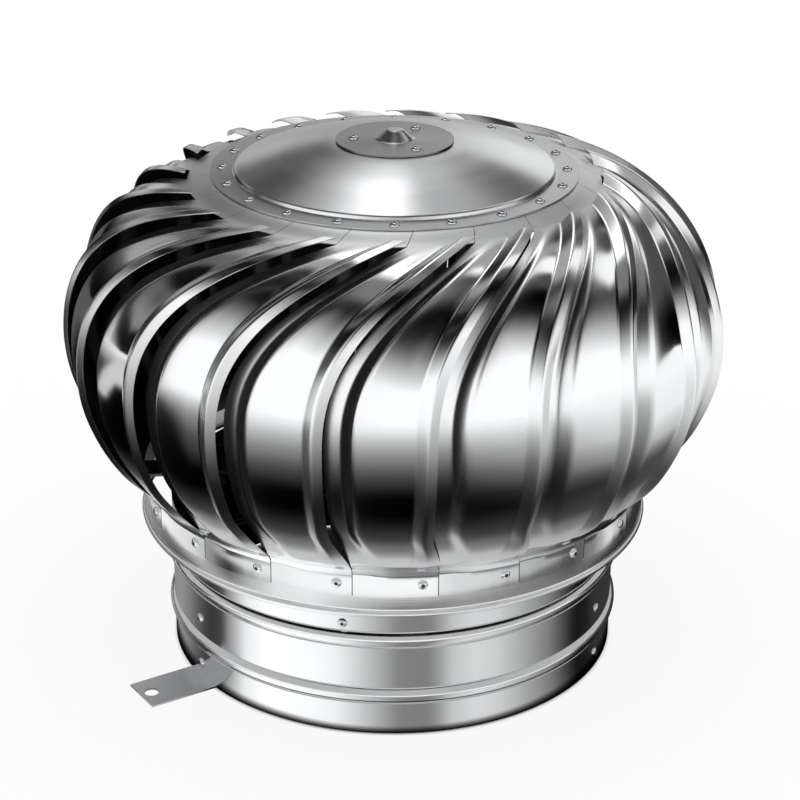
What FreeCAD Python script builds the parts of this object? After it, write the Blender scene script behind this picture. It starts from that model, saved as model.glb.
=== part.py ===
# Rotating chimney cowl: a fixed neck pipe with foot straps, a spider and a spindle inside it, and a rotor of
# twenty pressed vanes between a lower ring and a spun cap. Millimetres, +Z up. The origin is on the axis, at
# the underside of the foot straps. An azimuth of 0 degrees is at the front (-Y) and grows towards +X.
import math
import os

import FreeCAD
import Part
import Sketcher
from FreeCAD import Rotation, Vector

# Every driving size, in millimetres and degrees. Heights count from the neck's lower edge.
SIZES = {
    "neck_radius": 150.0,
    "neck_sheet": 0.8,
    "lower_band": 22.0,
    "middle_band": 29.8,
    "collar_height": 32.0,
    "bead_height": 10.5,
    "bead_rise": 3.0,
    "bead_slope": 3.2,
    "strap_sheet": 1.2,
    "strap_width": 32.0,
    "strap_foot": 45.0,
    "strap_leg": 52.0,
    "strap_hole_radius": 4.75,
    "strap_hole_edge": 7.5,
    "strap_rivet_low": 10.6,
    "strap_rivet_high": 44.5,
    "strap_seat_gap": 0.1,
    "left_strap_turn": -57.4,
    "right_strap_turn": 64.4,
    "back_strap_turn": 183.5,
    "spider_sheet": 2.5,
    "spider_height": 86.0,
    "spider_arm_width": 20.0,
    "spider_hub_radius": 24.0,
    "spider_leg": 16.0,
    "spider_rivet_height": 78.3,
    "spider_rivet_turn": -12.0,
    "spindle_radius": 7.5,
    "spindle_end_radius": 6.0,
    "spindle_tail": 13.0,
    "nut_flats": 18.0,
    "nut_height": 5.5,
    "running_gap": 0.05,
    "nut_gap": 0.3,
    "upper_hub_length": 16.0,
    "upper_hub_radius": 18.0,
    "hub_recess": 6.2,
    "hub_flange": 3.0,
    "hub_flange_radius": 32.0,
    "cross_height": 122.0,
    "cross_hub_radius": 16.0,
    "cross_hub_length": 18.0,
    "lower_bush_wall": 4.0,
    "cross_sheet": 2.0,
    "cross_arm_width": 22.0,
    "cross_leg": 14.0,
    "ring_clearance": 18.0,
    "ring_sheet": 0.8,
    "ring_foot": 93.7,
    "ring_head": 126.0,
    "ring_bead_height": 4.8,
    "ring_bead_rise": 1.8,
    "ring_bead_slope": 1.5,
    "cap_sheet": 1.0,
    "cap_height": 328.3,
    "cap_radius": 118.0,
    "flange_width": 15.5,
    "dome_step": 2.6,
    "dome_step_run": 1.0,
    "dome_shoulder_radius": 72.0,
    "dome_shoulder_rise": 12.4,
    "dome_crown_radius": 40.0,
    "dome_rise": 18.7,
    "cap_hole_radius": 14.0,
    "disc_radius": 37.8,
    "disc_sheet": 1.0,
    "boss_radius": 12.0,
    "boss_top_radius": 4.7,
    "boss_height": 6.0,
    "rivet_head_radius": 3.2,
    "rivet_head_height": 1.3,
    "foot_rivet_height": 116.8,
    "head_rivet_edge": 7.6,
    "disc_rivet_radius": 26.4,
    "first_disc_rivet_turn": 30.0,
    "first_foot_turn": 6.3,
    "vane_twist": 29.7,
    "vane_count": 20,
    "vane_sheet": 0.6,
    "vane_span": 17.3,
    "vane_edge_lead": 3.2,
    "vane_foot": 108.0,
    "vane_bend": 127.0,
    "knee_reach": 17.4,
    "knee_height": 138.6,
    "knee_angle": -41.3,
    "girth_reach": 48.3,
    "girth_height": 222.0,
    "crown_rise": 106.5,
    "lip_end_gap": 16.0,
    "lip_fall": 1.8,
    "lip_width": 5.8,
    "panel_depth": 5.0,
    "crease_width": 12.8,
    "strip_depth": 11.0,
    "strip_rise": 3.0,
    "strip_width": 3.0,
    "step_width": 2.3,
    "vane_narrowing": 0.7,
    "side_lead": 0.6,
    "side_lead_run": 36.6,
    "crown_sweep": 32.0,
    "crown_sweep_power": 1.3,
    "head_tab_edge": 11.7,
    "head_tab_lap": 14.0,
    "head_bend_run": 1.5,
    "head_bend_rise": 0.3,
}

# How many steps the rounded part of a vane has below its widest point and above it, how many corners cross
# its sheet, and over which share of its length the lip rises
SIDE_STEP_COUNT = 2
CROWN_STEP_COUNT = 6
VANE_CORNER_COUNT = 6
LIP_RUN_IN_SHARE = 0.14

# How many flats a small rivet head has, how many arms the spider and the cross have, and the disc's rivets
RIVET_FLAT_COUNT = 8
SPIDER_ARM_COUNT = 3
CROSS_ARM_COUNT = 4
DISC_RIVET_COUNT = 3


class Size:
    """A length or angle, with the expression that works it out from the sheet."""

    def __init__(self, value, text):
        self.value = value
        self.text = text

    def joined(self, other, sign):
        value = self.value + other.value if sign == "+" else self.value - other.value
        return Size(value, f"({self.text} {sign} {other.text})")

    def __add__(self, other):
        return self.joined(other, "+")

    def __sub__(self, other):
        return self.joined(other, "-")


doc = FreeCAD.newDocument("cowl")
sheet = doc.addObject("Spreadsheet::Sheet", "Sizes")
for row, (alias, value) in enumerate(SIZES.items(), start=1):
    sheet.set(f"A{row}", alias.replace("_", " "))
    sheet.set(f"B{row}", str(value))
    sheet.setAlias(f"B{row}", alias)
doc.recompute()

parts = []


def number(alias):
    return float(getattr(sheet, alias))


def size(alias):
    return Size(number(alias), f"Sizes.{alias}")


def azimuth(angle):
    """The turn about Z that takes the front (-Y) to this azimuth, from a piece drawn towards +X."""
    return Rotation(Vector(0, 0, 1), angle - 90)


def plane(body, role):
    return next(item for item in body.Origin.OriginFeatures if item.Role == role)


def keep(item, lift=None, turn=90.0):
    """Register a finished sub-part, at its height above the straps' underside and its azimuth."""
    lift = lift or size("strap_sheet")
    item.Placement = FreeCAD.Placement(Vector(0, 0, lift.value), azimuth(turn))
    item.setExpression("Placement.Base.z", lift.text)
    parts.append(item)
    return item


def outlined(body, name, role, points):
    """A closed sketch on an origin plane, each corner held by the sheet's sizes."""
    sketch = body.newObject("Sketcher::SketchObject", name)
    sketch.AttachmentSupport = [(plane(body, role), "")]
    sketch.MapMode = "FlatFace"
    corners = [Vector(across.value, up.value, 0) for across, up in points]
    count = len(corners)
    for index in range(count):
        sketch.addGeometry(Part.LineSegment(corners[index], corners[(index + 1) % count]))
    for index in range(count):
        sketch.addConstraint(Sketcher.Constraint("Coincident", index, 2, (index + 1) % count, 1))
    for index, (across, up) in enumerate(points):
        for kind, measure in (("DistanceX", across), ("DistanceY", up)):
            if measure.value == 0:
                axis = -2 if kind == "DistanceX" else -1
                sketch.addConstraint(Sketcher.Constraint("PointOnObject", index, 1, axis))
            else:
                held = sketch.addConstraint(Sketcher.Constraint(kind, -1, 1, index, 1, measure.value))
                sketch.setExpression(f"Constraints[{held}]", measure.text)
    return sketch


def round_sketch(body, name, radius, centre=None):
    """A circle on the body's XY plane, on the axis or at a distance along X."""
    sketch = body.newObject("Sketcher::SketchObject", name)
    sketch.AttachmentSupport = [(plane(body, "XY_Plane"), "")]
    sketch.MapMode = "FlatFace"
    middle = Vector(centre.value if centre else 0, 0, 0)
    circle = sketch.addGeometry(Part.Circle(middle, Vector(0, 0, 1), radius.value))
    held = sketch.addConstraint(Sketcher.Constraint("Radius", circle, radius.value))
    sketch.setExpression(f"Constraints[{held}]", radius.text)
    if centre:
        sketch.addConstraint(Sketcher.Constraint("PointOnObject", circle, 3, -1))
        held = sketch.addConstraint(Sketcher.Constraint("DistanceX", -1, 1, circle, 3, centre.value))
        sketch.setExpression(f"Constraints[{held}]", centre.text)
    else:
        sketch.addConstraint(Sketcher.Constraint("Coincident", circle, 3, -1, 1))
    return sketch


def new_body(label):
    body = doc.addObject("PartDesign::Body", label)
    body.Label = label
    return body


def turned(label, points):
    """A body of revolution about Z from its half section, as (radius, height) corners."""
    body = new_body(label)
    sketch = outlined(body, f"{label}_section", "XZ_Plane", points)
    revolution = body.newObject("PartDesign::Revolution", f"{label}_turned")
    revolution.Profile = sketch
    revolution.ReferenceAxis = (sketch, ["V_Axis"])
    revolution.Angle = 360
    sketch.Visibility = False
    return body


def padded(body, name, sketch, length, midplane=False):
    pad = body.newObject("PartDesign::Pad", name)
    pad.Profile = sketch
    pad.Length = length.value
    pad.setExpression("Length", length.text)
    pad.Midplane = midplane
    return pad


def bored(body, name, sketch):
    """A hole right through, along the sketch's normal both ways."""
    before = body.Shape.Volume
    pocket = body.newObject("PartDesign::Pocket", name)
    pocket.Profile = sketch
    pocket.Type = "ThroughAll"
    pocket.Midplane = True
    doc.recompute()
    if not pocket.Shape.Volume < before:
        raise RuntimeError(f"{name} cuts nothing")
    return pocket


def arms(body, feature, count):
    """Repeat one arm about the body's Z axis."""
    pattern = body.newObject("PartDesign::PolarPattern", f"{feature.Name}_repeat")
    pattern.Originals = [feature]
    pattern.Axis = (plane(body, "Z_Axis"), [""])
    pattern.Angle = 360
    pattern.Occurrences = count
    body.Tip = pattern
    return pattern


def bead(foot, radius):
    """Outer corners of a pressed bead that starts at this height, upwards."""
    crest = radius + size("bead_rise")
    head = foot + size("bead_height")
    slope = size("bead_slope")
    return [(radius, foot), (crest, foot + slope), (crest, head - slope), (radius, head)]


def make_neck():
    """One rolled pipe with two pressed beads, which show inside as grooves."""
    outer = size("neck_radius")
    inner = outer - size("neck_sheet")
    low_bead = size("lower_band")
    high_bead = low_bead + size("bead_height") + size("middle_band")
    top = high_bead + size("bead_height") + size("collar_height")
    foot = Size(0, "0")
    outside = [(outer, foot)] + bead(low_bead, outer) + bead(high_bead, outer) + [(outer, top)]
    inside = [(inner, foot)] + bead(low_bead, inner) + bead(high_bead, inner) + [(inner, top)]
    keep(turned("neck_pipe", outside + inside[::-1]))


def flat_seat(radius, width, gap):
    """How far out a flat plate of this width reaches inside a round wall."""
    half = width.value / 2
    value = math.sqrt(radius.value**2 - half**2) - gap.value
    return Size(value, f"(sqrt({radius.text} ^ 2 - ({width.text} / 2) ^ 2) - {gap.text})")


def make_strap(label, turn, with_foot):
    """A strip behind two rivets inside the neck, bent outwards under the neck's lower edge."""
    body = new_body(label)
    thick = size("strap_sheet")
    width = size("strap_width")
    outer = flat_seat(size("neck_radius") - size("neck_sheet"), width, size("strap_seat_gap"))
    inner = outer - thick
    top = size("strap_leg") + thick
    if with_foot:
        reach = size("neck_radius") + size("strap_foot")
        zero = Size(0, "0")
        corners = [(inner, zero), (reach, zero), (reach, thick), (outer, thick), (outer, top), (inner, top)]
    else:
        low = thick + thick
        corners = [(inner, low), (outer, low), (outer, top), (inner, top)]
    sketch = outlined(body, f"{label}_section", "XZ_Plane", corners)
    padded(body, f"{label}_strip", sketch, width, midplane=True)
    doc.recompute()
    if with_foot:
        centre = reach - size("strap_hole_edge")
        hole = round_sketch(body, f"{label}_hole_outline", size("strap_hole_radius"), centre)
        bored(body, f"{label}_hole", hole)
    keep(body, Size(0, "0"), number(turn))


def bent_arms(label, count, wall, width, leg, thick, hub_radius, bore, hub_length=None):
    """Flat arms round a hub, their ends bent down along a round wall. A longer hub reaches below the arms."""
    body = new_body(label)
    outer = flat_seat(wall, width, size("strap_seat_gap"))
    zero = Size(0, "0")
    low = zero - leg
    inner = outer - thick
    corners = [(bore, zero), (inner, zero), (inner, low), (outer, low), (outer, thick), (bore, thick)]
    sketch = outlined(body, f"{label}_arm_section", "XZ_Plane", corners)
    arm = padded(body, f"{label}_arm", sketch, width, midplane=True)
    doc.recompute()
    arms(body, arm, count)
    doc.recompute()
    hub_outline = round_sketch(body, f"{label}_hub_outline", hub_radius)
    if hub_length:
        hub_foot = thick - hub_length
        hub_outline.AttachmentOffset = FreeCAD.Placement(Vector(0, 0, hub_foot.value), Rotation())
        hub_outline.setExpression("AttachmentOffset.Base.z", hub_foot.text)
    hub = padded(body, f"{label}_hub", hub_outline, hub_length or thick)
    body.Tip = hub
    doc.recompute()
    bored(body, f"{label}_bore", round_sketch(body, f"{label}_bore_outline", bore))
    return body


def make_spindle():
    """The neck's spider, the upright spindle that stands on it by its shoulder, and the nuts at both ends."""
    spider = bent_arms(
        "neck_spider",
        SPIDER_ARM_COUNT,
        size("neck_radius") - size("neck_sheet"),
        size("spider_arm_width"),
        size("spider_leg"),
        size("spider_sheet"),
        size("spider_hub_radius"),
        size("spindle_end_radius"),
    )
    doc.recompute()
    keep(spider, size("strap_sheet") + size("spider_height"), number("spider_rivet_turn"))

    seat = size("spider_height") + size("spider_sheet")
    shaft = size("spindle_radius")
    end = size("spindle_end_radius")
    tail = size("spider_height") - size("spindle_tail")
    shoulder = upper_hub_foot() - size("running_gap")
    head_nut = hub_recess_floor() + size("nut_gap")
    head = head_nut + size("nut_height")
    axis = Size(0, "0")
    lower = [(axis, tail), (end, tail), (end, seat), (shaft, seat)]
    upper = [(shaft, shoulder), (end, shoulder), (end, head), (axis, head)]
    keep(turned("spindle", lower + upper))
    nut("spindle_tail_nut", size("spider_height") - size("nut_height"))
    nut("spindle_head_nut", head_nut)


def nut(label, foot):
    """A hexagon nut on the spindle's thinner end."""
    block = doc.addObject("Part::Prism", f"{label}_block")
    block.Polygon = 6
    block.setExpression("Circumradius", "Sizes.nut_flats / 2 / cos(30)")
    block.setExpression("Height", "Sizes.nut_height")
    hole = doc.addObject("Part::Cylinder", f"{label}_thread")
    hole.setExpression("Radius", "Sizes.spindle_end_radius")
    hole.setExpression("Height", "Sizes.nut_height")
    cut = doc.addObject("Part::Cut", label)
    cut.Label = label
    cut.Base = block
    cut.Tool = hole
    keep(cut, size("strap_sheet") + foot)


def crown_underside():
    return size("cap_height") + size("dome_rise") - size("cap_sheet")


def upper_hub_foot():
    """Height of the upper hub's lower face, which rests on the spindle's shoulder."""
    return crown_underside() - size("upper_hub_length")


def hub_recess_floor():
    return crown_underside() - size("hub_recess")


def make_upper_hub():
    """Flanged bearing under the cap, bored for the spindle's end, with a recess for its nut."""
    foot = upper_hub_foot()
    bore = size("spindle_end_radius") + size("running_gap")
    wall = size("upper_hub_radius")
    top = crown_underside()
    flange = top - size("hub_flange")
    rim = size("hub_flange_radius")
    recess = size("cap_hole_radius") - size("cap_sheet")
    floor = hub_recess_floor()
    outside = [(bore, foot), (wall, foot), (wall, flange), (rim, flange), (rim, top)]
    keep(turned("upper_hub", outside + [(recess, top), (recess, floor), (bore, floor)]))


def make_cross():
    """Four arms inside the rotor ring with the lower hub welded under them, and the bush in that hub."""
    bush_outer = size("spindle_radius") + size("running_gap") + size("lower_bush_wall")
    cross = bent_arms(
        "rotor_cross",
        CROSS_ARM_COUNT,
        ring_radius() - size("ring_sheet"),
        size("cross_arm_width"),
        size("cross_leg"),
        size("cross_sheet"),
        size("cross_hub_radius"),
        bush_outer,
        size("cross_hub_length"),
    )
    keep(cross, size("strap_sheet") + size("cross_height"), number("first_foot_turn"))
    inner = size("spindle_radius") + size("running_gap")
    foot = size("cross_height") + size("cross_sheet") - size("cross_hub_length")
    head = size("cross_height") + size("cross_sheet")
    keep(turned("lower_bush", [(inner, foot), (bush_outer, foot), (bush_outer, head), (inner, head)]))


def ring_radius():
    """Outside of the rotor ring, which turns clear of the neck's beads."""
    return size("neck_radius") + size("ring_clearance")


def make_rotor_ring():
    """A band with a rolled bead round its lower edge."""
    outer = ring_radius()
    inner = outer - size("ring_sheet")
    foot = size("ring_foot")
    bead_top = foot + size("ring_bead_height")
    crest = outer + size("ring_bead_rise")
    slope = size("ring_bead_slope")
    top = size("ring_head")
    ridge = [(outer, foot), (crest, foot + slope), (crest, bead_top - slope), (outer, bead_top)]
    keep(turned("rotor_ring", [(inner, foot)] + ridge + [(outer, top), (inner, top)]))


def make_cap():
    """A spun sheet: flat flange, short step, shallow dome with a flat crown and a hole under the disc."""
    thick = size("cap_sheet")
    flange = size("cap_height")
    rim = size("cap_radius")
    root = rim - size("flange_width")
    lip = root - size("dome_step_run")
    step = flange + size("dome_step")
    shoulder = size("dome_shoulder_radius")
    shoulder_top = flange + size("dome_shoulder_rise")
    crown = size("dome_crown_radius")
    crown_top = flange + size("dome_rise")
    hole = size("cap_hole_radius")
    above = [(rim, flange), (root, flange), (lip, step), (shoulder, shoulder_top), (crown, crown_top)]
    above.append((hole, crown_top))
    below = [(rim, flange - thick), (root - thick, flange - thick), (lip - thick, step - thick)]
    below += [(shoulder, shoulder_top - thick), (crown, crown_top - thick), (hole, crown_top - thick)]
    keep(turned("cap", above + below[::-1]))


def make_centre_disc():
    """The disc on the crown, with its hollow conical boss over the spindle's end."""
    thick = size("disc_sheet")
    foot = size("cap_height") + size("dome_rise")
    face = foot + thick
    rim = size("disc_radius")
    base = size("boss_radius")
    tip = size("boss_top_radius")
    top = face + size("boss_height")
    axis = Size(0, "0")
    above = [(rim, face), (base, face), (tip, top), (axis, top)]
    below = [(axis, top - thick), (tip - thick, top - thick), (base - thick, foot), (rim, foot)]
    keep(turned("centre_disc", above + below))


def rivet_heads(label, places):
    """One node of rivet heads. Each place has a point on the sheet's face and the direction it faces."""
    heads = []
    for index, (point, facing) in enumerate(places, start=1):
        head = doc.addObject("Part::Prism", f"{label}_{index:02d}")
        head.Polygon = RIVET_FLAT_COUNT
        head.setExpression("Circumradius", "Sizes.rivet_head_radius")
        head.setExpression("Height", "Sizes.rivet_head_height")
        head.Placement = FreeCAD.Placement(point, Rotation(Vector(0, 0, 1), facing))
        heads.append(head)
    group = doc.addObject("Part::Compound", label)
    group.Label = label
    group.Links = heads
    keep(group)


def on_wall(radius, angle, height):
    """A place on a round wall, facing outwards, drawn with azimuth 90 along +X."""
    turn = math.radians(angle - 90)
    outwards = Vector(math.cos(turn), math.sin(turn), 0)
    return outwards * radius + Vector(0, 0, height), outwards


def on_top(radius, angle, height):
    """A place on a level face, facing up."""
    return on_wall(radius, angle, height)[0], Vector(0, 0, 1)


def evenly(first, count):
    """Azimuths spread evenly round the axis from a first one."""
    return [first + index * 360 / count for index in range(count)]


def make_rivets():
    """Heads of the blind rivets, seated on the faces that they hold."""
    feet = evenly(number("first_foot_turn"), int(number("vane_count")))
    tab_face = tab_radius()
    rivet_heads("foot_rivets", [on_wall(tab_face, turn, number("foot_rivet_height")) for turn in feet])
    heads = [turn + number("vane_twist") for turn in feet]
    flange = number("cap_height")
    row = number("cap_radius") - number("head_rivet_edge")
    rivet_heads("head_rivets", [on_top(row, turn, flange) for turn in heads])
    disc_face = flange + number("dome_rise") + number("disc_sheet")
    turns = evenly(number("first_disc_rivet_turn"), DISC_RIVET_COUNT)
    rivet_heads("disc_rivets", [on_top(number("disc_rivet_radius"), turn, disc_face) for turn in turns])
    wall = number("neck_radius")
    spots = [
        on_wall(wall, number(turn), number(height))
        for turn in ("left_strap_turn", "right_strap_turn", "back_strap_turn")
        for height in ("strap_rivet_low", "strap_rivet_high")
    ]
    rivet_heads("strap_rivets", spots)
    turns = evenly(number("spider_rivet_turn"), SPIDER_ARM_COUNT)
    rivet_heads("spider_rivets", [on_wall(wall, turn, number("spider_rivet_height")) for turn in turns])


def tab_radius():
    """Radius of a foot tab's outer corners: its flats between the corners then clear the round ring."""
    half_flat = math.radians(number("vane_span") / (VANE_CORNER_COUNT - 1) / 2)
    return ring_radius().value / math.cos(half_flat) + number("vane_sheet")


def smooth(share):
    share = min(max(share, 0.0), 1.0)
    return share * share * (3 - 2 * share)


def girth_radius():
    """Radius of the lips' crests where the rotor is widest."""
    return ring_radius().value + number("girth_reach")


def lip_end_radius():
    """Radius at which the lip ends, square, beside the cap's flange."""
    return number("cap_radius") + number("lip_end_gap")


def edge_path():
    """The lip's crest from the tab's bend to the lip's square end: (radius, height, outward normal).

    Above the knee it is part of an ellipse round the cap's rim, at the height of the rotor's widest point.
    """
    centre = number("cap_radius")
    across = girth_radius() - centre
    level = number("girth_height")
    rise = number("crown_rise")
    step = math.acos((lip_end_radius() - centre) / across) / CROWN_STEP_COUNT
    path = [(tab_radius(), number("vane_bend"), Vector(1, 0, 0))]
    knee = math.radians(number("knee_angle"))
    knee_radius = ring_radius().value + number("knee_reach")
    path.append((knee_radius, number("knee_height"), Vector(math.cos(knee), 0, math.sin(knee))))
    for index in range(-SIDE_STEP_COUNT, CROWN_STEP_COUNT + 1):
        angle = step * index
        normal = Vector(math.cos(angle) / across, 0, math.sin(angle) / rise).normalize()
        path.append((centre + across * math.cos(angle), level + rise * math.sin(angle), normal))
    return path


def free_edge_turn(radius, height):
    """Azimuth of the free edge from the foot rivet: straight up the side, swept back over the crown."""
    if height < number("girth_height"):
        side = smooth((height - number("vane_bend")) / number("side_lead_run"))
        return number("vane_edge_lead") + (number("side_lead") - number("vane_edge_lead")) * side
    share = max(girth_radius() - radius, 0) / (girth_radius() - lip_end_radius())
    return number("side_lead") + number("crown_sweep") * share ** number("crown_sweep_power")


def corner(radius, height, normal, turn, depth):
    """A point at this azimuth, sunk inwards from the meridian's point."""
    angle = math.radians(turn - 90)
    reach = radius - depth * normal.x
    return Vector(reach * math.cos(angle), reach * math.sin(angle), height - depth * normal.z)


def level_turns(edge):
    """Azimuths of a tab's corners, evenly spaced back from its edge."""
    flats = VANE_CORNER_COUNT - 1
    return [edge - number("vane_span") * (flats - index) / flats for index in range(VANE_CORNER_COUNT)]


def vane_stations():
    """Cross-sections of a vane up its length: corners of the outer face, then of the inner one.

    From its inner edge a vane has a strip, a step, a sunk panel, a crease, a rise to the crest and a fall to
    the free edge.
    """
    path = edge_path()
    lengths = [0.0]
    for (r0, z0, _), (r1, z1, _) in zip(path, path[1:]):
        lengths.append(lengths[-1] + math.hypot(r1 - r0, z1 - z0))
    rows = []
    foot_turns = level_turns(number("vane_edge_lead"))
    rows.append([(tab_radius(), number("vane_foot"), Vector(1, 0, 0), turn, 0.0) for turn in foot_turns])
    for (radius, height, normal), length in zip(path, lengths):
        share = length / lengths[-1]
        deep = math.sin(math.pi * share)
        risen = smooth(share / LIP_RUN_IN_SHARE)
        edge = free_edge_turn(radius, height)
        degrees = math.degrees(1 / radius)
        span = number("vane_span") - number("vane_narrowing") * deep
        folds = [
            edge - span,
            edge - span + number("strip_width"),
            edge - span + number("strip_width") + number("step_width"),
            edge - number("crease_width") * degrees,
            edge - number("lip_width") * degrees,
            edge,
        ]
        turns = [flat + (fold - flat) * risen for flat, fold in zip(level_turns(edge), folds)]
        panel = number("panel_depth") * risen
        depths = [
            panel + number("strip_depth") * deep,
            panel + (number("strip_depth") - number("strip_rise")) * deep,
            panel,
            panel,
            0.0,
            number("lip_fall") * risen,
        ]
        rows.append([(radius, height, normal, turn, depth) for turn, depth in zip(turns, depths)])
    rows += head_tab_rows(path[-1])
    stations = []
    for row in rows:
        outer = [corner(*spot) for spot in row]
        inner = [corner(*spot[:4], spot[4] + number("vane_sheet")) for spot in row]
        stations.append(outer + inner[::-1])
    return stations


def head_tab_rows(lip_end):
    """The level tab under the cap's flange, reached from the panel beside the lip's square end."""
    radius, height, normal = lip_end
    panel_radius = radius - number("panel_depth") * normal.x
    panel_height = height - number("panel_depth") * normal.z
    up = Vector(0, 0, 1)
    seat = number("cap_height") - number("cap_sheet")
    edge = free_edge_turn(radius, height)
    bend_run = number("head_bend_run")
    bend_height = panel_height + number("head_bend_rise")
    rows = [[(panel_radius - bend_run, bend_height, up, turn, 0.0) for turn in level_turns(edge)]]
    for tab_reach in (number("cap_radius") + bend_run, number("cap_radius") - number("head_tab_lap")):
        edge = number("vane_twist") + math.degrees(math.asin(number("head_tab_edge") / tab_reach))
        rows.append([(tab_reach, seat, up, turn, 0.0) for turn in level_turns(edge)])
    return rows


def vane_solid():
    """The sheet between the stations, as flat triangles. Its outer and inner face are folded alike."""
    stations = vane_stations()
    corners = len(stations[0])
    faces = []
    for low, high in zip(stations, stations[1:]):
        for index in range(corners):
            following = (index + 1) % corners
            if index < VANE_CORNER_COUNT:
                faces.append((low[index], low[following], high[following]))
                faces.append((low[index], high[following], high[index]))
            else:
                faces.append((low[index], low[following], high[index]))
                faces.append((low[following], high[following], high[index]))
    for end in (stations[0], stations[-1]):
        for index in range(corners // 2 - 1):
            opposite = corners - 1 - index
            faces.append((end[index], end[index + 1], end[opposite - 1], end[opposite]))
    shell = Part.makeShell([Part.Face(Part.makePolygon(list(face) + [face[0]])) for face in faces])
    shell.sewShape()
    return Part.makeSolid(shell)


def make_vanes():
    """Twenty like vanes, one pitch apart."""
    shape = vane_solid()
    turns = evenly(number("first_foot_turn"), int(number("vane_count")))
    for index, turn in enumerate(turns, start=1):
        vane = doc.addObject("Part::Feature", f"vane_{index:02d}")
        vane.Label = vane.Name
        vane.Shape = shape
        keep(vane, turn=90 + turn)


make_neck()
make_strap("foot_strap_left", "left_strap_turn", True)
make_strap("foot_strap_back", "back_strap_turn", True)
make_strap("strap_plate_right", "right_strap_turn", False)
make_spindle()
make_upper_hub()
make_cross()
make_rotor_ring()
make_cap()
make_centre_disc()
make_vanes()
make_rivets()
doc.recompute()

for item in doc.Objects:
    if "Invalid" in item.State or "Error" in item.State:
        raise RuntimeError(f"{item.Label} failed: {item.State}")
os.makedirs("parts", exist_ok=True)
for part in parts:
    if part.Shape.isNull() or not part.Shape.isValid() or part.Shape.Volume <= 0:
        raise RuntimeError(f"{part.Label} has no valid solid")
    part.Shape.exportStep(f"parts/{part.Label}.step")
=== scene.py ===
# Rotating chimney cowl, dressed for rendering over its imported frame. Metres, +Z up, front towards -Y. An azimuth
# of 0 degrees is at the front and grows towards +X.
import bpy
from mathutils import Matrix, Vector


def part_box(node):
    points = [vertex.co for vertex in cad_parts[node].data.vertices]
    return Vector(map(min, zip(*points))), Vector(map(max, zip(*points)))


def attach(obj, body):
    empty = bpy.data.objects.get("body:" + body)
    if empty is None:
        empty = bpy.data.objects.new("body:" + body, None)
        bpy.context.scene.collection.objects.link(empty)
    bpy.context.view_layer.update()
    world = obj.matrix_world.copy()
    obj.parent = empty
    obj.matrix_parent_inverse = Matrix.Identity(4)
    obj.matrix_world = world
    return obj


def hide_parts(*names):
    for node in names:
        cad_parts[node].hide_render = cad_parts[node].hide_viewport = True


bl_info = {
    "name": "Rotating Chimney Cowl",
    "version": (1, 0, 0),
    "blender": (4, 5, 0),
    "location": "View3D > Sidebar > Cowl",
    "description": "Builds the sheet-metal pieces, finishes and studio of a rotating chimney cowl",
    "category": "Object",
}

import math

import bmesh
import bpy
from mathutils import Matrix, Vector

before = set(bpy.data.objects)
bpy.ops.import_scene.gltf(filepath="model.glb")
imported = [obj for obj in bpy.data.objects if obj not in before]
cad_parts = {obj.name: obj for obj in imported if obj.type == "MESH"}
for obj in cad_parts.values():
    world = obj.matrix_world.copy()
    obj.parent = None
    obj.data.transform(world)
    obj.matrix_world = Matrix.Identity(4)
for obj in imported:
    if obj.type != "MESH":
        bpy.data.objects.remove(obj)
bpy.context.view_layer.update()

MM = 0.001
VANES = 20
PITCH = 360 / VANES
FIRST_VANE = 6.3

# Radii and heights in millimetres. Heights count from the neck's foot, which stands on the straps.
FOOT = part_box("neck_pipe")[0].z / MM
NECK_RADIUS = 150.0
RING_RADIUS = 168.0
TAB_RADIUS = 168.6
FLANGE = 328.3
DISC_FACE = 348.0


class CowlVaneSizes(bpy.types.PropertyGroup):
    """The pressed vane, in the order of its cross-section from the free edge inwards."""

    sheet: bpy.props.FloatProperty(
        name="Sheet", description="Thickness of the vane's sheet", default=0.0006, unit="LENGTH"
    )
    span: bpy.props.FloatProperty(
        name="Span", description="Angle that one vane covers", default=math.radians(17.3), subtype="ANGLE"
    )
    lip_width: bpy.props.FloatProperty(
        name="Lip width", description="Width of the outer facet of the raised lip", default=0.0058, unit="LENGTH"
    )
    lip_fall: bpy.props.FloatProperty(
        name="Lip fall", description="How far the free edge lies under the lip's crest", default=0.003, unit="LENGTH"
    )
    crease_width: bpy.props.FloatProperty(
        name="Crease", description="Distance from the free edge to the panel's crease", default=0.0128, unit="LENGTH"
    )
    panel_depth: bpy.props.FloatProperty(
        name="Panel depth", description="How far the panel lies under the lip's crest", default=0.005, unit="LENGTH"
    )
    strip_depth: bpy.props.FloatProperty(
        name="Strip depth", description="How far the inner strip's edge lies under the panel", default=0.009,
        unit="LENGTH"
    )
    strip_rise: bpy.props.FloatProperty(
        name="Strip rise", description="How much the inner strip rises towards the step", default=0.0,
        unit="LENGTH"
    )
    rows: bpy.props.IntProperty(
        name="Rows", description="Rows of faces along the rounded part of a vane", default=44, min=8
    )


class CowlStudioSizes(bpy.types.PropertyGroup):
    """Where the camera stands."""

    distance: bpy.props.FloatProperty(
        name="Distance", description="Camera's distance in front of the axis", default=1.3783, unit="LENGTH"
    )
    height: bpy.props.FloatProperty(
        name="Height", description="Camera's height above the straps' underside", default=0.7729, unit="LENGTH"
    )
    pitch: bpy.props.FloatProperty(
        name="Pitch", description="How far the camera looks down", default=math.radians(23.72), subtype="ANGLE"
    )
    yaw: bpy.props.FloatProperty(
        name="Yaw", description="How far the camera is turned to the right", default=math.radians(0.18),
        subtype="ANGLE"
    )
    roll: bpy.props.FloatProperty(
        name="Roll", description="How far the camera leans", default=math.radians(0.38), subtype="ANGLE"
    )
    lens: bpy.props.FloatProperty(
        name="Lens", description="Focal length", default=101.3, unit="CAMERA"
    )


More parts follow.
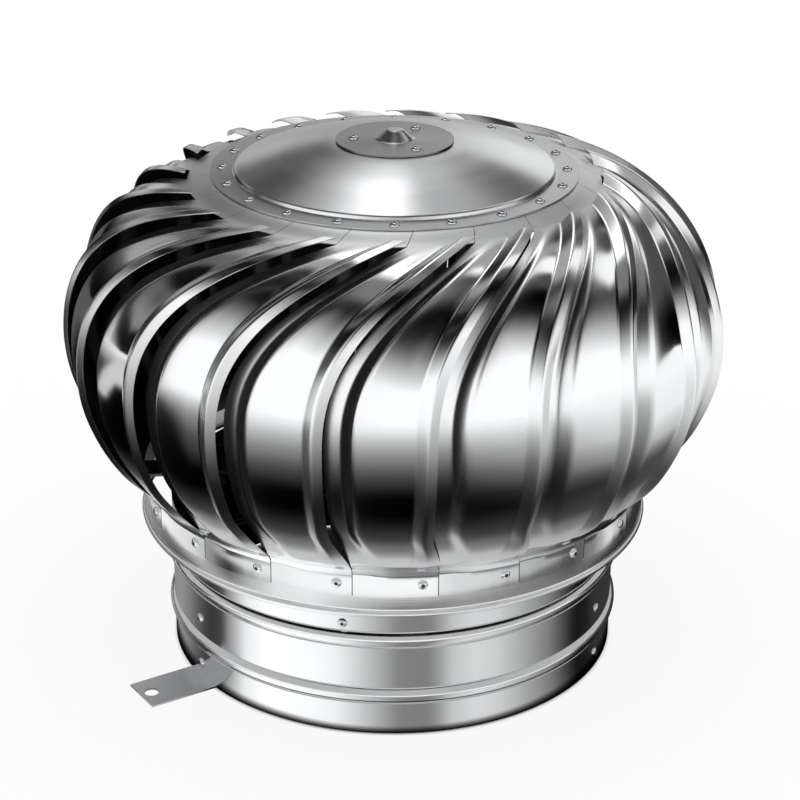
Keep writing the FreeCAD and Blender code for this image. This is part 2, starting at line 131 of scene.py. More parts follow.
class CowlFinishes(bpy.types.PropertyGroup):
    """Colours of the metals."""

    mirror: bpy.props.FloatVectorProperty(
        name="Mirror", description="Polished stainless sheet", default=(0.86, 0.87, 0.88), size=3, subtype="COLOR"
    )
    satin: bpy.props.FloatVectorProperty(
        name="Satin", description="Spun and brushed stainless sheet", default=(0.66, 0.67, 0.69), size=3,
        subtype="COLOR"
    )
    spun: bpy.props.FloatVectorProperty(
        name="Spun", description="Cap and disc", default=(0.8, 0.81, 0.82), size=3, subtype="COLOR"
    )
    mill: bpy.props.FloatVectorProperty(
        name="Mill", description="Plain steel of the inner frame", default=(0.22, 0.23, 0.24), size=3,
        subtype="COLOR"
    )
    bronze: bpy.props.FloatVectorProperty(
        name="Bronze", description="Bearing bronze", default=(0.5, 0.34, 0.17), size=3, subtype="COLOR"
    )


class Wire:
    """A shader socket that takes part in plain arithmetic."""

    def __init__(self, finish, socket):
        self.finish = finish
        self.socket = socket

    def joined(self, operation, *values, clamp=False):
        node = self.finish.add("ShaderNodeMath", {"operation": operation, "use_clamp": clamp}, dict(enumerate(values)))
        return Wire(self.finish, node.outputs[0])

    def __add__(self, other):
        return self.joined("ADD", self, other)

    def __radd__(self, other):
        return self.joined("ADD", other, self)

    def __sub__(self, other):
        return self.joined("SUBTRACT", self, other)

    def __rsub__(self, other):
        return self.joined("SUBTRACT", other, self)

    def __mul__(self, other):
        return self.joined("MULTIPLY", self, other)

    def __rmul__(self, other):
        return self.joined("MULTIPLY", other, self)

    def __truediv__(self, other):
        return self.joined("DIVIDE", self, other)

    def __pow__(self, other):
        return self.joined("POWER", self, other)

    def clamped(self):
        return self.joined("ADD", self, 0.0, clamp=True)

    def least(self, other):
        return self.joined("MINIMUM", self, other)

    def most(self, other):
        return self.joined("MAXIMUM", self, other)

    def size(self):
        return self.joined("ABSOLUTE", self)

    def band(self, low, high, soft):
        """A mask that is 1 between two limits, with soft edges."""
        rise = ((self - low) / soft + 0.5).clamped()
        fall = ((high - self) / soft + 0.5).clamped()
        both = rise * fall
        return both * both * (3 - 2 * both)


class Finish:
    """A new material, with one method that adds any node to it."""

    def __init__(self, name):
        self.material = bpy.data.materials.new(name)
        self.material.use_nodes = True
        self.tree = self.material.node_tree
        self.tree.nodes.clear()

    def add(self, kind, settings=None, inputs=None):
        """Add a node: its settings first (a ramp's stops too), then the values or links of its sockets."""
        node = self.tree.nodes.new(kind)
        for key, value in (settings or {}).items():
            if key == "stops":
                ramp = node.color_ramp
                while len(ramp.elements) > 2:
                    ramp.elements.remove(ramp.elements[-1])
                for element, (place, shade) in zip(ramp.elements, value):
                    element.position = place
                    element.color = (*([shade] * 3), 1)
                for place, shade in value[2:]:
                    ramp.elements.new(place).color = (*([shade] * 3), 1)
            else:
                setattr(node, key, value)
        for key, value in (inputs or {}).items():
            if isinstance(value, Wire):
                self.tree.links.new(value.socket, node.inputs[key])
            else:
                node.inputs[key].default_value = value
        return node

    def wire(self, kind, settings=None, inputs=None, output=0):
        return Wire(self, self.add(kind, settings, inputs).outputs[output])

    def place(self):
        """Object coordinates, in metres."""
        return self.wire("ShaderNodeTexCoord", output="Object")

    def axes(self, place):
        split = self.add("ShaderNodeSeparateXYZ", inputs={0: place})
        return [Wire(self, split.outputs[index]) for index in range(3)]

    def azimuth(self, across, along):
        """Degrees round the axis: 0 at the front, more to the right."""
        turn = self.wire("ShaderNodeMath", {"operation": "ARCTAN2"}, {0: across, 1: along * -1.0})
        return turn * (180 / math.pi)

    def stretched(self, place, scale):
        return self.wire("ShaderNodeMapping", inputs={"Vector": place, "Scale": scale})

    def speckle(self, place, scale, detail=2.0, roughness=0.5):
        return self.wire(
            "ShaderNodeTexNoise", inputs={"Vector": place, "Scale": scale, "Detail": detail, "Roughness": roughness}
        )

    def ramp(self, stops, factor):
        """A tone from (place, tone) stops: the first, the last, then those between."""
        return self.wire("ShaderNodeValToRGB", {"stops": stops}, {0: factor})

    def shade(self, factor, dark, light):
        """A colour between two, by a factor."""
        node = self.add(
            "ShaderNodeMix",
            {"data_type": "RGBA", "clamp_factor": True},
            {"Factor": factor, 6: (*dark, 1), 7: (*light, 1)},
        )
        return Wire(self, node.outputs[2])

    def glow(self, tone):
        """Light of this display tone: a mix of no light and twice white."""
        dark = self.wire("ShaderNodeEmission", inputs={"Strength": 0.0})
        bright = self.wire("ShaderNodeEmission", inputs={"Color": (1, 1, 1, 1), "Strength": 2.0})
        return self.wire("ShaderNodeMixShader", inputs={0: (tone**2.2 * 0.5).clamped(), 1: dark, 2: bright})

    def surface(self, shader):
        self.add("ShaderNodeOutputMaterial", inputs={"Surface": shader})
        return self.material

    def metal(self, colour, roughness, bumps, spun=0.0):
        """A metal whose bumps are (height, strength, distance), laid over one another."""
        inputs = {"Base Color": colour, "Roughness": roughness, "Metallic": 1.0}
        if spun:
            inputs.update({"Anisotropic": spun, "Anisotropic Rotation": 0.25})
        normal = None
        for height, strength, distance in bumps:
            sockets = {"Height": height, "Strength": strength, "Distance": distance}
            if normal:
                sockets["Normal"] = normal
            normal = self.wire("ShaderNodeBump", inputs=sockets)
        if normal:
            inputs["Normal"] = normal
        return self.surface(self.wire("ShaderNodeBsdfPrincipled", inputs=inputs))


def toned(colour, share):
    return tuple(channel * share for channel in colour)


def laid(under, mask, level):
    """One tone laid over another."""
    return under + mask * (level - under)


def mirror_stainless(colour):
    """Polished sheet with faint smears and slow waves: painted shade darkens the lip's outer facet; satin where it is
    rubbed.
    """
    finish = Finish("mirror_stainless")
    place = finish.place()
    smear = finish.speckle(finish.stretched(place, (1, 1, 0.3)), 26.0, 3.0)
    grain = finish.speckle(finish.stretched(place, (1, 1, 0.04)), 900.0, 1.0)
    waves = finish.speckle(place, 9.0, 1.0)
    # Painted shade: the facet attribute darkens the lip's outer facet towards two thirds of its colour.
    facet = finish.wire("ShaderNodeAttribute", {"attribute_name": "facet"}, output="Fac")
    shade = finish.shade(smear * 0.2 + 0.8 - facet * 0.8, toned(colour, 0.66), colour)
    rubbed = finish.wire("ShaderNodeAttribute", {"attribute_name": "rubbed"}, output="Fac")
    roughness = 0.04 + smear * 0.04 + grain * 0.015 + rubbed * 0.34
    return finish.metal(shade, roughness, [(waves, 0.12, 0.002), (grain, 0.04, 0.0001)])


def dull_with_painted_shade(colour):
    """The unpolished side of the vanes: rough and blotchy, its colour painted nearly black with painted shade."""
    finish = Finish("dull_with_painted_shade")
    place = finish.place()
    cloud = finish.speckle(place, 22.0, 4.0, 0.6)
    shade = finish.shade(cloud, toned(colour, 0.1), toned(colour, 0.2))
    return finish.metal(shade, 0.34 + cloud * 0.16, [(cloud, 0.1, 0.0005)])


def rolled_stainless(colour, painted_shade_above):
    """Polished pipe: rolling lines run round it, and above this height in metres, where the foot tabs lie on it,
    painted shade darkens its colour and its roughness is raised.
    """
    finish = Finish("rolled_stainless")
    place = finish.place()
    smear = finish.speckle(finish.stretched(place, (1, 1, 2.5)), 14.0, 3.0)
    lines = finish.speckle(finish.stretched(place, (0.01, 0.01, 1)), 1800.0, 2.0)
    # Painted shade: above that height the colour goes nearly black, under the foot tabs and in the gaps between them.
    painted_shade_mask = ((finish.axes(place)[2] - painted_shade_above) / 0.0006).clamped()
    shade = finish.shade(smear * 0.1 + 0.9 - painted_shade_mask * 0.9, toned(colour, 0.08), colour)
    roughness = 0.09 + smear * 0.05 + lines * 0.03 + painted_shade_mask * 0.3
    return finish.metal(shade, roughness, [(lines, 0.08, 0.0001)])


def spun_stainless(colour, painted_shade_from, painted_shade_share):
    """Satin sheet turned on a lathe: fine rings, and painted shade that darkens it inwards and darkens the flat from
    this radius in metres.
    """
    finish = Finish("spun_stainless")
    place = finish.place()
    across, along, _ = finish.axes(place)
    radius = (across * across + along * along) ** 0.5
    ring_place = finish.wire("ShaderNodeCombineXYZ", inputs={0: radius})
    rings = finish.speckle(ring_place, 800.0, 2.0, 0.6)
    bands = finish.speckle(ring_place, 150.0, 2.0)
    cloud = finish.speckle(place, 30.0, 3.0)
    # Painted shade: the flat beyond the given radius and the dome inwards of 78 mm are painted darker; the rings and
    # bands are the turned pattern.
    dull = ((radius - painted_shade_from) / 0.0008).clamped()
    inner = ((0.078 - radius) / 0.034).clamped()
    polish_and_shade = (rings * 0.6 + bands * 0.4) * 0.2 + 0.75 - dull * 0.7 - inner * 0.5
    shade = finish.shade(polish_and_shade, toned(colour, painted_shade_share), toned(colour, 1.12))
    roughness = 0.2 + bands * 0.06 + cloud * 0.05
    return finish.metal(shade, roughness, [(rings, 0.02, 0.0001)], spun=0.7)


def brushed_stainless(colour):
    """Satin strip: straight brush marks and rubbed patches."""
    finish = Finish("brushed_stainless")
    place = finish.place()
    marks = finish.speckle(finish.stretched(place, (1, 0.03, 1)), 1500.0, 2.0)
    cloud = finish.speckle(place, 45.0, 3.0)
    shade = finish.shade(marks * 0.5 + cloud * 0.5, toned(colour, 0.75), colour)
    return finish.metal(shade, 0.24 + cloud * 0.14 + marks * 0.05, [(marks, 0.15, 0.0001)])


def mill_steel(colour):
    """Plain steel: dull, a little blotchy."""
    finish = Finish("mill_steel")
    place = finish.place()
    cloud = finish.speckle(place, 38.0, 4.0, 0.6)
    grain = finish.speckle(place, 900.0, 2.0)
    shade = finish.shade(cloud, toned(colour, 0.7), toned(colour, 1.15))
    return finish.metal(shade, 0.36 + cloud * 0.18, [(grain, 0.2, 0.0001)])


def bearing_bronze(colour):
    """Turned bronze: rings and an oily darkening."""
    finish = Finish("bearing_bronze")
    place = finish.place()
    cloud = finish.speckle(place, 60.0, 3.0)
    lines = finish.speckle(finish.stretched(place, (0.02, 0.02, 1)), 1600.0, 2.0)
    shade = finish.shade(cloud, toned(colour, 0.72), toned(colour, 1.1))
    return finish.metal(shade, 0.28 + cloud * 0.14, [(lines, 0.2, 0.0001)])


def rivet_steel(colour):
    """Bright rivet heads with handling marks."""
    finish = Finish("rivet_steel")
    place = finish.place()
    cloud = finish.speckle(place, 420.0, 3.0)
    shade = finish.shade(cloud, toned(colour, 1.0), toned(colour, 1.3))
    return finish.metal(shade, 0.14 + cloud * 0.1, [(cloud, 0.1, 0.0002)])


def around(angle, radius, height):
    """A point at this azimuth, from millimetres to metres."""
    turn = math.radians(angle - 90)
    return Vector((radius * math.cos(turn), radius * math.sin(turn), height)) * MM


def eased(share):
    """0 to 1 with a soft start and end."""
    share = min(max(share, 0.0), 1.0)
    return share * share * (3 - 2 * share)


def settle(mesh_data, name, material, body, stands_for):
    """Make a finished bmesh a piece that rides on its body."""
    mesh = bpy.data.meshes.new(name)
    mesh_data.to_mesh(mesh)
    mesh_data.free()
    if not mesh.polygons:
        raise RuntimeError(f"{name} has no faces")
    mesh.materials.append(material)
    piece = bpy.data.objects.new(name, mesh)
    bpy.context.scene.collection.objects.link(piece)
    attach(piece, body)
    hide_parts(*stands_for)
    return piece


def smooth_by_angle(mesh_data, limit=35):
    """Smooth faces, with the sharp folds and the sheet's rim marked."""
    for face in mesh_data.faces:
        face.smooth = True
    for edge in mesh_data.edges:
        edge.smooth = len(edge.link_faces) == 2 and edge.calc_face_angle(0) < math.radians(limit)


def chained(mesh_data, points):
    """Join (radius, height) points in millimetres by edges."""
    verts = [mesh_data.verts.new((across * MM, 0, up * MM)) for across, up in points]
    for first, second in zip(verts, verts[1:]):
        mesh_data.edges.new((first, second))
    return verts


def softened(profile, radii=(), segments=4):
    """A chain of (radius, height) corners in millimetres, each rounded by its own radius."""
    chain = bmesh.new()
    verts = chained(chain, profile)
    for vert, radius in zip(verts[1:-1], radii[1:-1]):
        if radius:
            bmesh.ops.bevel(
                chain, geom=[vert], offset=radius * MM, segments=segments, profile=0.5, affect="VERTICES",
                material=-1
            )
    return chain


def spun_once(mesh_data, steps):
    """Spin everything once round Z and close the seam and the pole."""
    bmesh.ops.spin(
        mesh_data, geom=mesh_data.verts[:] + mesh_data.edges[:], cent=(0, 0, 0), axis=(0, 0, 1), angle=math.tau,
        steps=steps, use_merge=True, use_duplicate=False
    )
    bmesh.ops.remove_doubles(mesh_data, verts=mesh_data.verts, dist=1e-7)


def turned(chain, wall, steps=240):
    """Spin a chain and give the sheet its thickness inwards."""
    spun_once(chain, steps)
    bmesh.ops.recalc_face_normals(chain, faces=chain.faces)
    outward(chain)
    bmesh.ops.solidify(chain, geom=chain.faces[:], thickness=wall * MM)
    smooth_by_angle(chain)
    return chain


def outward(chain):
    """Turn an open shell's faces so that they look away from the axis or up."""
    total = sum(face.normal.dot(face.calc_center_median() * Vector((1, 1, 0))) for face in chain.faces)
    lift = sum(face.normal.z * face.calc_area() for face in chain.faces)
    if total + lift < 0:
        bmesh.ops.reverse_faces(chain, faces=chain.faces)


def ridge(foot, height, rise, base, groove=0.8, steps=8):
    """Points up a pressed bead: a thin crease, a rounded ridge and a thin crease."""
    points = [(base, foot - 0.8), (base - groove, foot)]
    for index in range(1, steps):
        share = index / steps
        points.append((base + rise * math.sin(math.pi * share) ** 0.75, foot + height * share))
    return points + [(base - groove, foot + height), (base, foot + height + 0.8)]


class COWL_OT_neck(bpy.types.Operator):
    """Roll the neck pipe with its two pressed beads"""

    bl_idname = "cowl.neck"
    bl_label = "Neck pipe"

    WALL = 0.8
    TOP = 104.8
    BEAD_HEIGHT = 10.5
    BEAD_RISE = 3.0
    BEAD_FEET = (22.0, 62.3)

    def execute(self, context):
        profile = [(NECK_RADIUS, FOOT)]
        for foot in self.BEAD_FEET:
            profile += ridge(FOOT + foot, self.BEAD_HEIGHT, self.BEAD_RISE, NECK_RADIUS)
        profile += [(NECK_RADIUS, FOOT + self.TOP)]
        above_everything = 1.0
        settle(
            turned(softened(profile), self.WALL), "polished_neck",
            rolled_stainless(context.scene.cowl_finishes.mirror, above_everything), "neck", ["neck_pipe"],
        )
        return {"FINISHED"}


class COWL_OT_ring(bpy.types.Operator):
    """Roll the rotor's lower ring with the bead round its edge"""

    bl_idname = "cowl.ring"
    bl_label = "Rotor ring"

    WALL = 0.8
    LOWER_EDGE = 93.7
    TOP = 126.0
    # Height above which the ring's colour is painted dark: painted shade under and between the foot tabs.
    PAINTED_SHADE_ABOVE = 109.3

    def execute(self, context):
        base = RING_RADIUS
        foot = FOOT + self.LOWER_EDGE
        profile = [(base - 0.4, foot), (base + 0.6, foot + 0.2)]
        for index in range(7):
            angle = math.radians(-70 + index * 25)
            profile.append((base + 1.8 * math.cos(angle) * 0.99, foot + 2.4 + 2.2 * math.sin(angle)))
        profile += [(base, foot + 5.2), (base, foot + 5.8), (base, FOOT + self.TOP)]
        settle(
            turned(softened(profile), self.WALL), "polished_ring",
            rolled_stainless(context.scene.cowl_finishes.mirror, self.PAINTED_SHADE_ABOVE * MM), "rotor", ["rotor_ring"],
        )
        return {"FINISHED"}


class COWL_OT_cap(bpy.types.Operator):
    """Spin the cap: a flat flange, a rounded lip and a shallow dome"""

    bl_idname = "cowl.cap"
    bl_label = "Cap"

    WALL = 1.0
    STEP_FOOT = 103.4

    def execute(self, context):
        flange = FOOT + FLANGE
        profile = [
            (118.0, flange),
            (self.STEP_FOOT, flange),
            (102.3, flange + 2.6),
            (99.0, flange + 3.6),
            (72.0, flange + 12.4),
            (40.0, flange + 18.7),
            (14.0, flange + 18.7),
        ]
        chain = softened(profile, [0, 0.5, 0.9, 1.6, 12.0, 9.0, 0], 6)
        # The flange beyond the step's foot is painted darker: painted shade.
        settle(
            turned(chain, self.WALL), "spun_cap",
            spun_stainless(context.scene.cowl_finishes.spun, self.STEP_FOOT * MM, 0.5), "rotor", ["cap"],
        )
        return {"FINISHED"}


class COWL_OT_disc(bpy.types.Operator):
    """Spin the centre disc and its hollow boss"""

    bl_idname = "cowl.disc"
    bl_label = "Centre disc"

    WALL = 1.0
    # Radius beyond which the disc is painted darker, painted shade; the boss inside it stays bright.
    PAINTED_SHADE_FROM = 12.5

    def execute(self, context):
        face = FOOT + DISC_FACE
        profile = [(37.8, face), (12.0, face), (5.2, face + 6.0), (0.0, face + 6.0)]
        chain = softened(profile, [0, 1.2, 0.8, 0], 4)
        settle(
            turned(chain, self.WALL, steps=128), "spun_disc",
            spun_stainless(context.scene.cowl_finishes.spun, self.PAINTED_SHADE_FROM * MM, 0.34), "rotor", ["centre_disc"],
        )
        return {"FINISHED"}


class VaneForm:
    """The shape of one vane: a section that changes along the path of its free edge. Millimetres."""

    # The foot tab: the height of its bend, the bend's reach, the share of the path in which the folds rise, its rows
    BEND = 127.0
    FOOT_BEND = 5.0
    RUN_IN = 0.14
    TAB_ROWS = (108.0, 113.0, 118.0)
    # The crown's ellipse: its centre's radius, half width, centre's height, half height, and the angle where it begins
    CENTRE = 118.0
    ACROSS = 98.3
    LEVEL = 222.0
    RISE = 106.5
    SIDE = math.radians(-22)
    # Handles of the curve between the tab and the crown: the lower one's direction, and both lengths
    TAB_LEAN = Vector((0.84, 0.54))
    TAB_PULL = 18
    SIDE_PULL = 34
    # Azimuths of the free edge, counted from the foot rivet: at the foot, at the side after this rise, at the lip's end
    LEAD = 3.2
    SIDE_LEAD = 0.6
    SIDE_REACH = 36.6
    SWEEP = 32.0
    # Radius of the lip's end. The head tab: its height, outer radius, its rivet's azimuth, its edge beside it, its rows
    LIP_END = 134.0
    SEAT = 327.3
    SEATED = 116.0
    TWIST = 29.7
    TAB_SHIFT = 11.7
    HEAD_ROWS = (112.0, 108.0, 104.0)
    # The section: points and radii of the rounded corners, and degrees from the inner edge to the step and the panel
    ROUND = 5
    CORNERS = (3.0, 3.0, 1.6, 2.0)
    STRIP = 3.0
    STEP = 5.3

    def __init__(self, sizes):
        self.sizes = sizes
        self.span = math.degrees(sizes.span)
        self.path = self.rows(sizes.rows)

    def on_crown(self, angle):
        normal = Vector((math.cos(angle) / self.ACROSS, math.sin(angle) / self.RISE)).normalized()
        return self.CENTRE + self.ACROSS * math.cos(angle), self.LEVEL + self.RISE * math.sin(angle), normal

    def rows(self, count):
        """(radius, height, normal, edge azimuth, share of the length, on the lip or not) up the vane."""
        line = []
        start = Vector((TAB_RADIUS, self.BEND))
        side = self.on_crown(self.SIDE)
        finish = Vector(side[:2])
        first = start + self.TAB_LEAN * self.TAB_PULL
        second = finish - Vector((-side[2].y, side[2].x)) * self.SIDE_PULL
        for index in range(12):
            t = index / 12
            point = (
                start * (1 - t) ** 3 + first * (3 * t * (1 - t) ** 2) + second * (3 * t * t * (1 - t)) + finish * t**3
            )
            along = (
                (first - start) * (1 - t) ** 2 + (second - first) * (2 * t * (1 - t)) + (finish - second) * t**2
            ).normalized()
            line.append((point.x, point.y, Vector((along.y, -along.x))))
        end = math.acos((self.LIP_END - self.CENTRE) / self.ACROSS)
        for index in range(count + 1):
            line.append(self.on_crown(self.SIDE + (end - self.SIDE) * index / count))
        lengths = [0.0]
        for (r0, z0, _), (r1, z1, _) in zip(line, line[1:]):
            lengths.append(lengths[-1] + math.hypot(r1 - r0, z1 - z0))
        rows = []
        for height in self.TAB_ROWS:
            rows.append((TAB_RADIUS, height, Vector((1, 0)), self.LEAD, 0.0, True))
        lean = (first - start).normalized()
        for index in range(7):
            t = index / 6
            below = start - Vector((0, self.FOOT_BEND))
            beyond = start + lean * self.FOOT_BEND
            point = below * (1 - t) ** 2 + start * (2 * t * (1 - t)) + beyond * t**2
            along = ((start - below) * (1 - t) + (beyond - start) * t).normalized()
            share = t * self.FOOT_BEND * 0.5 / lengths[-1]
            normal = Vector((along.y, -along.x))
            rows.append((point.x, point.y, normal, self.edge(point.x, point.y), share, True))
        for (radius, height, normal), length in zip(line, lengths):
            if length > self.FOOT_BEND + 0.5:
                rows.append((radius, height, normal, self.edge(radius, height), length / lengths[-1], True))
        self.lip_end_row = len(rows) - 1
        radius, height, normal = line[-1]
        depth = self.sizes.panel_depth / MM
        panel = Vector((radius, height)) - normal * depth
        last = self.edge(radius, height)
        away = panel.x - 0.6
        for index in range(9):
            share = index / 8
            reach = away + (self.SEATED - away) * share
            lift = 0.18 * (away - self.SEATED) * share * (1 - share) ** 2
            rise = panel.y + 0.1 + lift + (self.SEAT - panel.y - 0.1) * eased(share)
            turn = last + (self.TWIST + self.tab_turn(self.SEATED) - last) * share
            rows.append((reach, rise, Vector((0.2, 0.98)), turn, 1.0, False))
        for reach in self.HEAD_ROWS:
            rows.append((reach, self.SEAT, Vector((0, 1)), self.TWIST + self.tab_turn(reach), 1.0, False))
        return rows

    def tab_turn(self, reach):
        """The azimuth of the head tab's edge, which is straight."""
        return math.degrees(math.asin(self.TAB_SHIFT / reach))

    def edge(self, radius, height):
        """The azimuth of the free edge."""
        if height < self.LEVEL:
            side = eased((height - self.BEND) / self.SIDE_REACH)
            return self.LEAD + (self.SIDE_LEAD - self.LEAD) * side
        share = (self.CENTRE + self.ACROSS - radius) / (self.CENTRE + self.ACROSS - self.LIP_END)
        return self.SIDE_LEAD + self.SWEEP * share**1.3

    def section(self, row):
        """Corners from the inner edge to the free edge, as (millimetres along, depth), rounded."""
        radius, _, _, _, share, lipped = row
        sizes = self.sizes
        deep = math.sin(math.pi * min(share, 1.0)) ** 0.75 if share < 0.5 else math.sin(math.pi * share)
        risen = eased(share / self.RUN_IN)
        levelled = 1 - 0.9 * eased((share - 0.6) / 0.3)
        flare = 1 + 0.45 * eased((share - 0.45) / 0.5)
        round_mm = math.radians(1) * radius
        span = (self.span + 0.5 + 0.6 * deep) * round_mm
        folds = [
            -span,
            -span + self.STRIP * round_mm,
            -span + self.STEP * round_mm,
            -sizes.crease_width / MM * flare,
            -sizes.lip_width / MM * flare,
            0.0,
        ]
        flats = [-span * (5 - index) / 5 for index in range(6)]
        places = [flat + (fold - flat) * risen for flat, fold in zip(flats, folds)]
        panel = sizes.panel_depth / MM * risen
        strip = sizes.strip_depth / MM * deep
        depths = [
            panel + strip,
            panel + strip - sizes.strip_rise / MM * deep,
            panel,
            panel,
            0.0,
            sizes.lip_fall / MM * risen * levelled,
        ]
        if not lipped:
            depths = [0.0] * 6
        corners = list(zip(places, depths))
        points = [Vector(corners[0])]
        for index, round_radius in zip(range(1, 5), self.CORNERS):
            before, here, after = (Vector(corners[index + step]) for step in (-1, 0, 1))
            back = (before - here).normalized() * min(round_radius, (before - here).length * 0.45)
            on = (after - here).normalized() * min(round_radius, (after - here).length * 0.45)
            if index == 3:
                previous = points[-1]
                for part in (0.25, 0.5, 0.75):
                    points.append(previous.lerp(here + back, part))
            for step in range(self.ROUND):
                t = step / (self.ROUND - 1)
                points.append((here + back) * (1 - t) ** 2 + here * (2 * t * (1 - t)) + (here + on) * t * t)
        points.append(Vector(corners[5]))
        return points

    def columns(self):
        return len(self.section(self.path[0]))

    def first_lip_column(self):
        """The second column of the crease, from where the lip rises to the free edge."""
        return self.columns() - 2 * self.ROUND

    def rubbed(self, column, row):
        """How satin the sheet is left: the stepped edge and the head tab most, the lip a little."""
        share, on_lip = self.path[row][4:]
        if not on_lip:
            return 1.0
        edge = 0.5 * eased((14 - column) / 6)
        lip = (0.7 - 0.5 * eased((share - 0.4) / 0.3)) * eased((column - self.first_lip_column() + 1) / 3)
        return min(max(edge, lip) * eased(share / 0.06) + eased((share - 0.93) / 0.07) * 0.6, 1.0)

    def facet(self, column, row):
        """The mask of painted shade: 1 on the lip's outer facet, which fades in above the foot tab and out before the
        lip's end.
        """
        share, on_lip = self.path[row][4:]
        outer = column >= self.columns() - 3 and on_lip
        return outer * eased((share - 0.04) / 0.08) * (1 - eased((share - 0.55) / 0.25))

    def point(self, row, spot):
        radius, height, normal, edge, _, _ = row
        angle = edge + math.degrees(spot.x / radius)
        return around(angle, radius - spot.y * normal.x, FOOT + height - spot.y * normal.y)


class COWL_OT_vanes(bpy.types.Operator):
    """Press the twenty vanes, each from one sheet with a strip, a step, a panel, a crease and a raised lip"""

    bl_idname = "cowl.vanes"
    bl_label = "Vanes"

    def execute(self, context):
        sizes = context.scene.cowl_vane
        sheet = self.pressed(VaneForm(sizes))
        material = mirror_stainless(context.scene.cowl_finishes.mirror)
        # The vanes' inner side: rough, with painted shade that makes it nearly black.
        inside = dull_with_painted_shade(context.scene.cowl_finishes.satin)
        for index in range(VANES):
            copy = bmesh.new()
            copy.from_mesh(sheet)
            turn = Matrix.Rotation(math.radians(FIRST_VANE + index * PITCH), 3, "Z")
            bmesh.ops.rotate(copy, verts=copy.verts, cent=(0, 0, 0), matrix=turn)
            name = f"vane_{index + 1:02d}"
            piece = settle(copy, f"pressed_{name}", material, "rotor", [name])
            piece.data.materials.append(inside)
            wall = piece.modifiers.new("sheet", "SOLIDIFY")
            wall.thickness = sizes.sheet
            wall.offset = -1
            wall.material_offset = 1
        bpy.data.meshes.remove(sheet)
        return {"FINISHED"}

    def pressed(self, form):
        """One flat grid laid on the vane's form, with the lip cut square at its end."""
        columns = form.columns()
        vane = bmesh.new()
        bmesh.ops.create_grid(vane, x_segments=columns - 1, y_segments=len(form.path) - 1, size=1)
        sections = [form.section(row) for row in form.path]
        rubbed = vane.verts.layers.float.new("rubbed")
        # The mask of painted shade on the lip's outer facet.
        facet = vane.verts.layers.float.new("facet")
        place_of = {}
        for vert in vane.verts:
            column = round((vert.co.x + 1) / 2 * (columns - 1))
            row = round((vert.co.y + 1) / 2 * (len(form.path) - 1))
            place_of[vert] = (column, row)
        beyond_lip = []
        for face in vane.faces:
            spots = [place_of[vert] for vert in face.verts]
            on_lip = min(column for column, _ in spots) >= form.first_lip_column()
            if on_lip and min(row for _, row in spots) == form.lip_end_row:
                beyond_lip.append(face)
        for vert, (column, row) in place_of.items():
            vert.co = form.point(form.path[row], sections[row][column])
            vert[rubbed] = form.rubbed(column, row)
            vert[facet] = form.facet(column, row)
        bmesh.ops.delete(vane, geom=beyond_lip, context="FACES_ONLY")
        middle = vane.faces[:][len(vane.faces) // 2]
        if middle.normal.dot(middle.calc_center_median() * Vector((1, 1, 0))) < 0:
            bmesh.ops.reverse_faces(vane, faces=vane.faces)
        smooth_by_angle(vane, 60)
        sheet = bpy.data.meshes.new("vane_sheet")
        vane.to_mesh(sheet)
        vane.free()
        return sheet


def rivet_head(radius=3.2, height=1.6, hole=1.12):
    """A domed blind rivet's head, facing +Z, with the broken stem in its hole, which has the second material: painted
    shade.
    """
    head = bmesh.new()
    dome = [(radius, 0.0), (radius, 0.25), (radius * 0.92, 0.7), (radius * 0.72, 1.25), (radius * 0.45, height)]
    dome += [(1.2, height), (1.05, height - 0.2), (1.05, height - 0.8), (0.8, height - 0.8), (0.72, height - 0.5)]
    dome += [(0.0, height - 0.42)]
    chained(head, dome)
    spun_once(head, 24)
    bmesh.ops.holes_fill(head, edges=head.edges, sides=24)
    bmesh.ops.recalc_face_normals(head, faces=head.faces)
    smooth_by_angle(head, 50)
    for face in head.faces:
        middle = face.calc_center_median() / MM
        face.material_index = int(math.hypot(middle.x, middle.y) < hole and middle.z > 0.3)
    mesh = bpy.data.meshes.new("rivet_head")
    head.to_mesh(mesh)
    head.free()
    return mesh


def rivet_group(name, places, materials, body, stands_for):
    """One piece of rivet heads, each at (azimuth, radius, height, facing up or out)."""
    template = rivet_head()
    group = bmesh.new()
    for angle, radius, height, upright in places:
        before = len(group.verts)
        group.from_mesh(template)
        group.verts.ensure_lookup_table()
        fresh = group.verts[before:]
        lean = Matrix.Identity(4) if upright else Matrix.Rotation(math.radians(90), 4, "Y")
        turn = Matrix.Rotation(math.radians(angle - 90), 4, "Z")
        move = Matrix.Translation(around(angle, radius, height))
        bmesh.ops.transform(group, matrix=move @ turn @ lean, verts=fresh)
    bpy.data.meshes.remove(template)
    piece = settle(group, name, materials[0], body, stands_for)
    piece.data.materials.append(materials[1])


